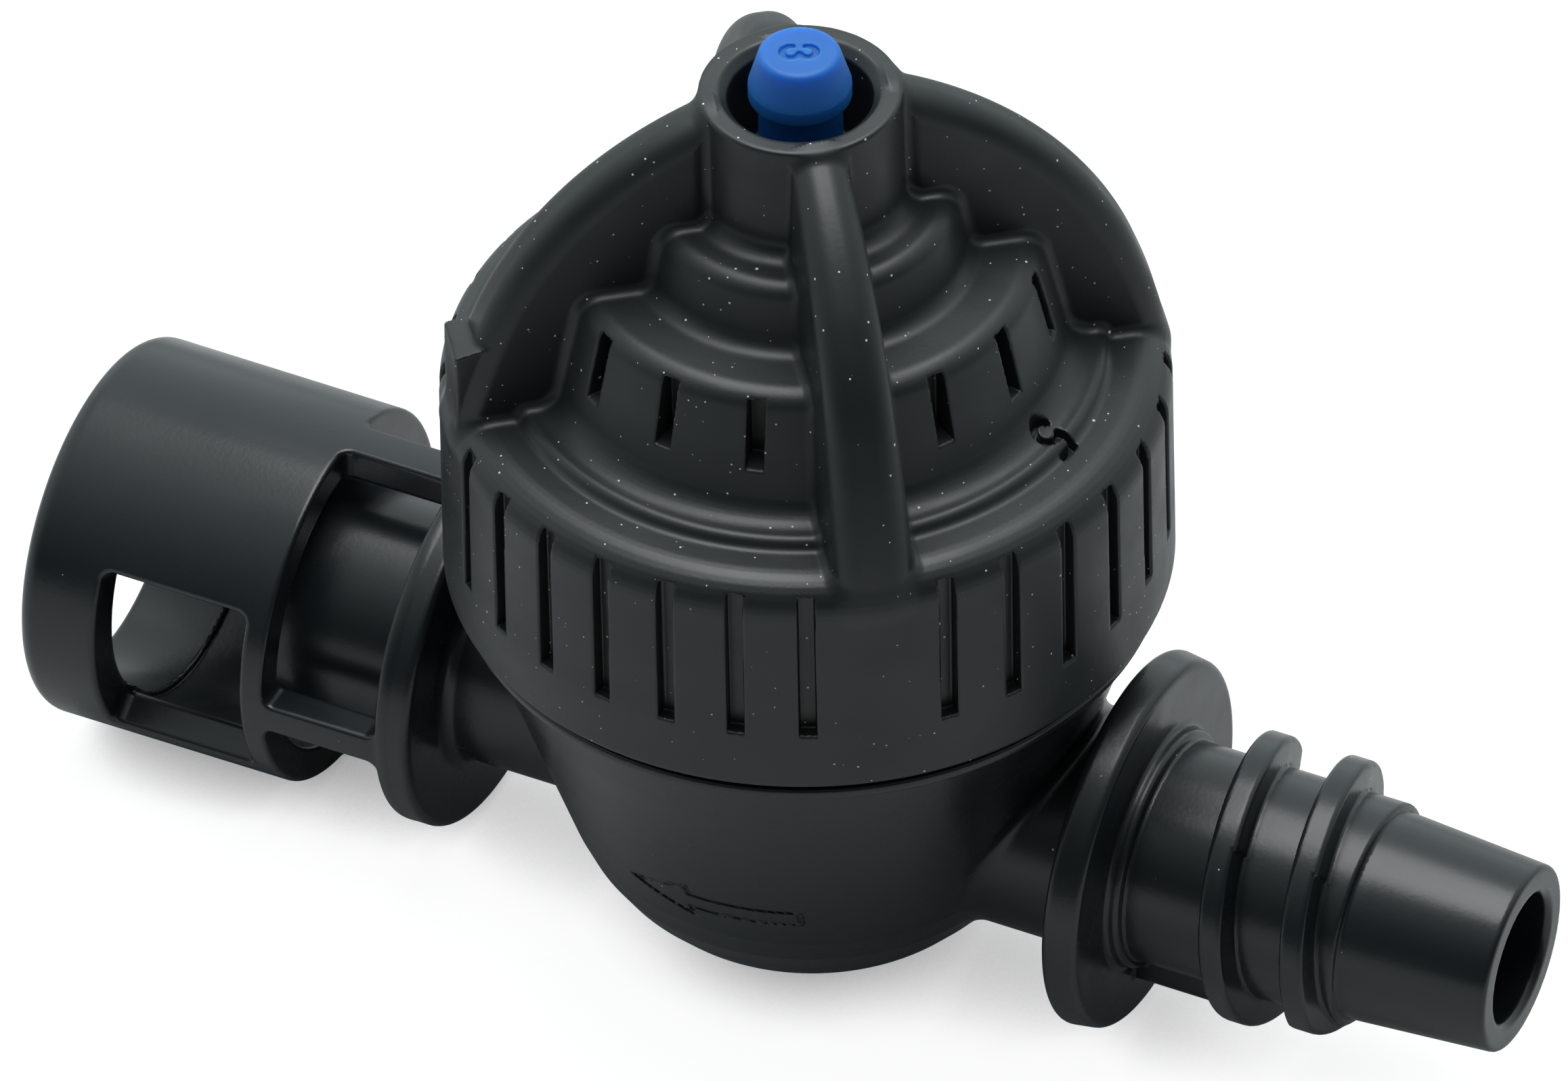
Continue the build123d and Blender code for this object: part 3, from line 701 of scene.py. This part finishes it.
def make_diaphragm():
    """Rubber dish with two shallow convolutions and a thick bead."""
    low, high, bead_z = DISH_LOW.z, DISH_LOW.z + 0.8, 25.42
    return lathe("rubber_diaphragm", [
        (2.45, low, 0.05), (7.2, low, 0.8), (10.3, bead_z + 0.2, 0.6), (11.5, bead_z + 0.2, 0.1),
        (11.5, bead_z, 0.05), (13.3, bead_z, 0.3), (13.3, DISH_HIGH.z, 0.3), (11.5, DISH_HIGH.z, 0.2),
        (11.5, bead_z + 0.95, 0.2), (9.95, bead_z + 0.95, 0.6), (6.95, high, 0.8), (2.45, high, 0.05),
    ])


def end_lids(rows, around):
    """Faces that close a tube's first and last ring."""
    lids = []
    for row in (0, rows - 1):
        first = row * around
        for k in range(1, around - 1, 2):
            lid = [first, first + k, first + k + 1, first + (k + 2) % around]
            lids.append(lid if row else lid[::-1])
    return [lid for lid in lids if len(set(lid)) == 4]


def make_spring():
    """Round-wire coil with rounded wire ends, fine enough to stay smooth."""
    wire, turns, around = 0.4, 6.5, 16
    middle_r = COIL_HIGH.x - wire
    low, high = COIL_LOW.z + wire, COIL_HIGH.z - wire
    steps = int(turns * 64)
    t = np.linspace(0, 1, steps + 1)
    angle = t * turns * 2 * math.pi
    centre = np.stack([middle_r * np.cos(angle), middle_r * np.sin(angle), low + (high - low) * t], -1)
    outward = np.stack([np.cos(angle), np.sin(angle), np.zeros_like(angle)], -1)
    ahead = np.gradient(centre, axis=0)
    ahead /= np.linalg.norm(ahead, axis=1, keepdims=True)
    upward = np.cross(ahead, outward)
    ring = np.linspace(0, 2 * math.pi, around, endpoint=False)
    tube = (centre[:, None] + wire * (np.cos(ring)[None, :, None] * outward[:, None]
                                      + np.sin(ring)[None, :, None] * upward[:, None]))
    caps = []
    for end, sign in ((0, -1), (-1, 1)):
        for share in (0.55, 0.85):
            shrink = math.sqrt(1 - share * share)
            lead = ahead[end] * sign * wire * share * 0.5
            caps.append(centre[end] + (tube[end] - centre[end]) * shrink + lead)
    rows = np.concatenate([[caps[1]], [caps[0]], tube, [caps[2]], [caps[3]]])
    count = len(rows)
    points = rows.reshape(-1, 3)
    i, j = np.meshgrid(np.arange(count - 1), np.arange(around), indexing="ij")
    j_next = (j + 1) % around
    here, following = i * around, (i + 1) * around
    quads = np.stack([here + j, here + j_next, following + j_next, following + j], -1).reshape(-1, 4)
    lids = np.array(end_lids(count, around))
    return mesh_object("coil_spring", points, np.concatenate([quads, lids]))


# ---- materials -------------------------------------------------------------------------------------
class Nodes:
    """Small helper for building node materials."""

    def __init__(self, name):
        self.material = bpy.data.materials.new(name)
        self.material.use_nodes = True
        self.tree = self.material.node_tree
        self.shader = self.tree.nodes["Principled BSDF"]
        self.place = self.add("ShaderNodeTexCoord").outputs["Object"]

    def add(self, kind, **values):
        node = self.tree.nodes.new(kind)
        for key, value in values.items():
            setattr(node, key, value)
        return node

    def link(self, source, target):
        self.tree.links.new(source, target)

    def noise(self, per_metre, detail=3.0, stretch=(1, 1, 1), rough=0.5):
        mapping = self.add("ShaderNodeMapping")
        mapping.inputs["Scale"].default_value = [per_metre * s for s in stretch]
        self.link(self.place, mapping.inputs["Vector"])
        noise = self.add("ShaderNodeTexNoise")
        noise.inputs["Scale"].default_value = 1.0
        noise.inputs["Detail"].default_value = detail
        noise.inputs["Roughness"].default_value = rough
        self.link(mapping.outputs["Vector"], noise.inputs["Vector"])
        return noise.outputs["Fac"]

    def ramp(self, value, low, high, start, stop):
        """value mapped from low..high to start..stop, clamped."""
        node = self.add("ShaderNodeMapRange")
        for key, number in (("From Min", low), ("From Max", high), ("To Min", start), ("To Max", stop)):
            node.inputs[key].default_value = number
        self.link(value, node.inputs["Value"])
        return node.outputs["Result"]

    def mix(self, share, first, second):
        """Colour between two colours or sockets."""
        node = self.add("ShaderNodeMix", data_type="RGBA")
        for socket, value in ((node.inputs[0], share), (node.inputs[6], first), (node.inputs[7], second)):
            if isinstance(value, bpy.types.NodeSocket):
                self.link(value, socket)
            else:
                socket.default_value = value if isinstance(value, (int, float)) else (*value, 1.0)
        return node.outputs[2]

    def math(self, operation, first, second):
        node = self.add("ShaderNodeMath", operation=operation)
        for socket, value in ((node.inputs[0], first), (node.inputs[1], second)):
            if isinstance(value, bpy.types.NodeSocket):
                self.link(value, socket)
            else:
                socket.default_value = value
        return node.outputs[0]

    def specks(self, per_metre, size, rarity):
        """1 inside sparse round specks, 0 elsewhere. size is a share of a cell."""
        cells = self.add("ShaderNodeTexVoronoi", feature="F1")
        cells.inputs["Scale"].default_value = per_metre
        cells.inputs["Randomness"].default_value = 1.0
        self.link(self.place, cells.inputs["Vector"])
        split = self.add("ShaderNodeSeparateColor")
        self.link(cells.outputs["Color"], split.inputs["Color"])
        chosen = self.math("GREATER_THAN", split.outputs["Red"], rarity)
        reach = self.ramp(split.outputs["Green"], 0, 1, size * 0.35, size)
        close = self.math("LESS_THAN", cells.outputs["Distance"], reach)
        return self.math("MULTIPLY", chosen, close)

    def bump(self, layers):
        """Bumps stacked on each other, from (height socket, distance in metres)."""
        normal = None
        for height, distance in layers:
            node = self.add("ShaderNodeBump")
            node.inputs["Strength"].default_value = 1.0
            node.inputs["Distance"].default_value = distance
            self.link(height, node.inputs["Height"])
            if normal is not None:
                self.link(normal, node.inputs["Normal"])
            normal = node.outputs["Normal"]
        self.link(normal, self.shader.inputs["Normal"])

    def set(self, **values):
        for key, value in values.items():
            socket = self.shader.inputs[key.replace("_", " ")]
            if isinstance(value, bpy.types.NodeSocket):
                self.link(value, socket)
            else:
                socket.default_value = value


def black_plastic(name, colour, rough, dust, streaks):
    """Carbon-black moulded plastic with soft mottling, fine grain, faint flow streaks and dust."""
    n = Nodes(name)
    mottle = n.noise(160, 4)
    flow = n.noise(420, 3, stretch=(0.12, 1, 1))
    darker = [c * 0.72 for c in colour]
    base = n.mix(mottle, darker, colour)
    if dust:
        coarse = n.specks(1000, 0.072, 1 - 0.56 * dust)
        fine = n.specks(2400, 0.115, 1 - 0.42 * dust)
        speck = n.math("MAXIMUM", coarse, fine)
        base = n.mix(speck, base, (0.55, 0.56, 0.55))
    worn = n.ramp(flow, 0.3, 0.7, rough - 0.05, rough + 0.06)
    n.set(Base_Color=base, Roughness=n.math("ADD", worn, n.ramp(mottle, 0.3, 0.7, -0.03, 0.03)))
    n.set(IOR=1.5, Specular_IOR_Level=0.5)
    n.bump([(n.noise(5200, 2), 0.000004), (flow, streaks)])
    return n.material


def blue_plastic():
    """Slightly translucent blue acetal."""
    n = Nodes("blue_acetal")
    cloud = n.noise(500, 3)
    base = n.mix(cloud, (0.006, 0.100, 0.37), (0.009, 0.128, 0.44))
    n.set(Base_Color=base, Roughness=n.ramp(cloud, 0.3, 0.7, 0.42, 0.50), IOR=1.40)
    n.set(Subsurface_Weight=0.9, Subsurface_Scale=0.0025)
    n.shader.inputs["Subsurface Radius"].default_value = (0.25, 0.6, 1.0)
    n.bump([(n.noise(3800, 2), 0.000005)])
    return n.material


def natural_acetal():
    """Off-white acetal, uneven as it cooled."""
    n = Nodes("natural_acetal_finish")
    cloud = n.noise(350, 3)
    n.set(Base_Color=n.mix(cloud, (0.62, 0.60, 0.54), (0.74, 0.73, 0.68)))
    n.set(Roughness=n.ramp(cloud, 0.3, 0.7, 0.32, 0.42))
    n.set(Subsurface_Weight=0.15, Subsurface_Scale=0.001)
    n.bump([(n.noise(4200, 2), 0.000004)])
    return n.material


def black_rubber():
    """Matt rubber with a faint bloom."""
    n = Nodes("black_rubber_finish")
    bloom = n.noise(300, 4)
    n.set(Base_Color=n.mix(bloom, (0.012, 0.012, 0.012), (0.026, 0.026, 0.027)))
    n.set(Roughness=n.ramp(bloom, 0.3, 0.7, 0.55, 0.75))
    n.bump([(n.noise(2600, 3), 0.00001)])
    return n.material


def spring_steel():
    """Drawn wire, streaked across the coil's axis."""
    n = Nodes("spring_steel_finish")
    drawn = n.noise(1500, 3, stretch=(1, 1, 6))
    n.set(Base_Color=n.mix(drawn, (0.50, 0.50, 0.49), (0.66, 0.65, 0.63)), Metallic=1.0)
    n.set(Roughness=n.ramp(drawn, 0.3, 0.7, 0.2, 0.32))
    n.bump([(n.noise(5000, 2), 0.000002)])
    return n.material


def paint(piece, material):
    piece.data.materials.clear()
    piece.data.materials.append(material)
    return piece


# ---- stage: floor, light and camera ------------------------------------------------------------------
PAINTED_SHADOW_REACH = 0.007      # metres within which the floor is painted darker around the object, a painted contact shadow
FLOOR_HALF_WIDTH = 3.0     # metres


def make_floor():
    """Flat pale paper that runs far past the object. To the camera it glows white and is painted darker
    near the object as a painted contact shadow; in reflections it is plain pale grey paper.
    """
    n = Nodes("floor_paper_with_painted_shadow")
    grain = n.noise(900, 2)
    seen = n.add("ShaderNodeLightPath").outputs["Is Camera Ray"]
    # Ambient occlusion close to the object drives painted shade on the floor, a painted contact shadow.
    openness = n.add("ShaderNodeAmbientOcclusion", samples=16)
    openness.inputs["Distance"].default_value = PAINTED_SHADOW_REACH
    near = n.ramp(openness.outputs["AO"], 0.03, 0.48, 0.15, 1.0)
    # Camera-seen base colour, painted darker where the object is close as painted shadow.
    lit = n.mix(near, (0.10, 0.10, 0.10), (0.18, 0.18, 0.18))
    paper = n.mix(grain, (0.62, 0.62, 0.62), (0.66, 0.66, 0.66))
    # Camera-only glow that keeps the floor white, painted dimmer near the object as painted contact shadow.
    camera_glow_with_painted_shadow = n.math("MULTIPLY", seen, n.ramp(near, 0.0, 1.0, 0.02, 0.93))
    n.set(Base_Color=n.mix(seen, paper, lit), Roughness=0.9, Specular_IOR_Level=0.1)
    n.set(Emission_Color=(1, 1, 1, 1), Emission_Strength=camera_glow_with_painted_shadow)
    n.bump([(grain, 0.00002)])
    points = [(x * FLOOR_HALF_WIDTH, y * FLOOR_HALF_WIDTH, -0.0002) for x in (-1, 1) for y in (-1, 1)]
    floor = mesh_object("floor", np.array(points) / SCALE, np.array([[0, 2, 3, 1]]))
    paint(floor, n.material)


def area_light(name, place, target, size, power, colour=(1, 1, 1)):
    """Square soft light at place, in millimetres, facing target."""
    data = bpy.data.lights.new(name, "AREA")
    data.shape = "RECTANGLE"
    data.size, data.size_y = size[0] * SCALE, size[1] * SCALE
    data.energy = power
    data.color = colour
    light = bpy.data.objects.new(name, data)
    light.location = Vector(place) * SCALE
    direction = Vector(target) - Vector(place)
    light.rotation_mode = "QUATERNION"
    light.rotation_quaternion = direction.to_track_quat("-Z", "Y")
    bpy.context.scene.collection.objects.link(light)
    return light


CAMERA_AZIMUTH, CAMERA_ELEVATION, CAMERA_ROLL = 26.52, 41.33, -1.236
CAMERA_TARGET = Vector((0.66, -3.63, 22.50))
CAMERA_DISTANCE = 662.2
CAMERA_LENS, SENSOR_WIDTH = 374, 36


def make_camera():
    """Long lens, looking down on the valve from the front right."""
    azimuth, elevation = math.radians(CAMERA_AZIMUTH), math.radians(CAMERA_ELEVATION)
    level_share = math.cos(elevation)
    back = Vector((math.sin(azimuth) * level_share, -math.cos(azimuth) * level_share, math.sin(elevation)))
    data = bpy.data.cameras.new("camera")
    data.sensor_width = SENSOR_WIDTH
    data.lens = CAMERA_LENS
    camera = bpy.data.objects.new("camera", data)
    camera.location = (CAMERA_TARGET + back * CAMERA_DISTANCE) * SCALE
    camera.rotation_mode = "QUATERNION"
    level = (-back).to_track_quat("-Z", "Y")
    roll = Matrix.Rotation(math.radians(CAMERA_ROLL), 4, "Z").to_quaternion()
    camera.rotation_quaternion = level @ roll
    data.clip_start, data.clip_end = 0.01, 20
    bpy.context.scene.collection.objects.link(camera)
    bpy.context.scene.camera = camera


BACKDROP_TINT = (0.91, 1.0, 1.02, 1)
BACKDROP_DIRECTION = (-0.45, 0.75, 0.48)
BACKDROP_FADE = (("From Min", -0.5), ("From Max", 0.85), ("To Min", 0.08), ("To Max", 1.05))


def make_world():
    """Pale backdrop behind and to the left, fading to a dark room in front."""
    world = bpy.data.worlds.new("studio")
    world.use_nodes = True
    tree = world.node_tree
    background = tree.nodes["Background"]
    background.inputs["Color"].default_value = BACKDROP_TINT
    place = tree.nodes.new("ShaderNodeTexCoord")
    towards = tree.nodes.new("ShaderNodeVectorMath")
    towards.operation = "DOT_PRODUCT"
    towards.inputs[1].default_value = Vector(BACKDROP_DIRECTION).normalized()
    tree.links.new(place.outputs["Generated"], towards.inputs[0])
    fade = tree.nodes.new("ShaderNodeMapRange")
    fade.interpolation_type = "SMOOTHSTEP"
    for key, number in BACKDROP_FADE:
        fade.inputs[key].default_value = number
    tree.links.new(towards.outputs["Value"], fade.inputs["Value"])
    tree.links.new(fade.outputs["Result"], background.inputs["Strength"])
    bpy.context.scene.world = world
    bpy.context.scene.view_settings.view_transform = "Standard"


def make_lights():
    """One diffused lamp close above the cap, a little behind it."""
    area_light("soft_box", (-12, 20, 165), (-6, 4, 12), (96, 118), 0.165)


# ---- assembly --------------------------------------------------------------------------------
VOXEL, QUICK_VOXEL = 0.12, 0.24
PIN_VOXEL, QUICK_PIN_VOXEL = 0.07, 0.12
# colour, roughness, share of dust, height of the flow streaks in metres
CAP_PLASTIC = ((0.0112, 0.0148, 0.0152), 0.40, 1.0, 0.000004)
BODY_PLASTIC = ((0.0100, 0.0132, 0.0145), 0.26, 0.04, 0.000006)


def add_piece(piece, body, slot_name, material, *nodes):
    paint(piece, material)
    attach(piece, body)
    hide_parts(*nodes)
    return piece


def build():
    voxel, pin_voxel = ((VOXEL, PIN_VOXEL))
    cap_black = black_plastic("cap_black", *CAP_PLASTIC)
    body_black = black_plastic("body_black", *BODY_PLASTIC)
    cap = moulded("screw_cap", cap_field(), CAP_LOW, CAP_HIGH, voxel)
    add_piece(cap, "bonnet_cap", "cap_plastic", cap_black, "bonnet_cap")
    body = moulded("moulded_body", body_field(), BODY_LOW, BODY_HIGH, voxel)
    add_piece(body, "valve_body", "body_plastic", body_black, "valve_body")
    pin = moulded("blue_pin", pin_field(), PIN_LOW, PIN_HIGH, pin_voxel)
    add_piece(pin, "indicator", "blue_plastic", blue_plastic(), "indicator_pin")
    rubber, acetal = black_rubber(), natural_acetal()
    dish = add_piece(make_diaphragm(), "valve_body", "black_rubber", rubber, "diaphragm")
    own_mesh(dish)
    coil = add_piece(make_spring(), "valve_body", "spring_steel", spring_steel(), "return_spring")
    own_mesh(coil)
    finishes = {
        "seat_ring": acetal, "slip_ring": acetal, "diaphragm_clamp": acetal,
        "diaphragm_plate": acetal, "seal_pad": rubber,
    }
    for node, material in finishes.items():
        paint(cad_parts[node], material)


build()
make_floor()
make_world()
make_lights()
make_camera()
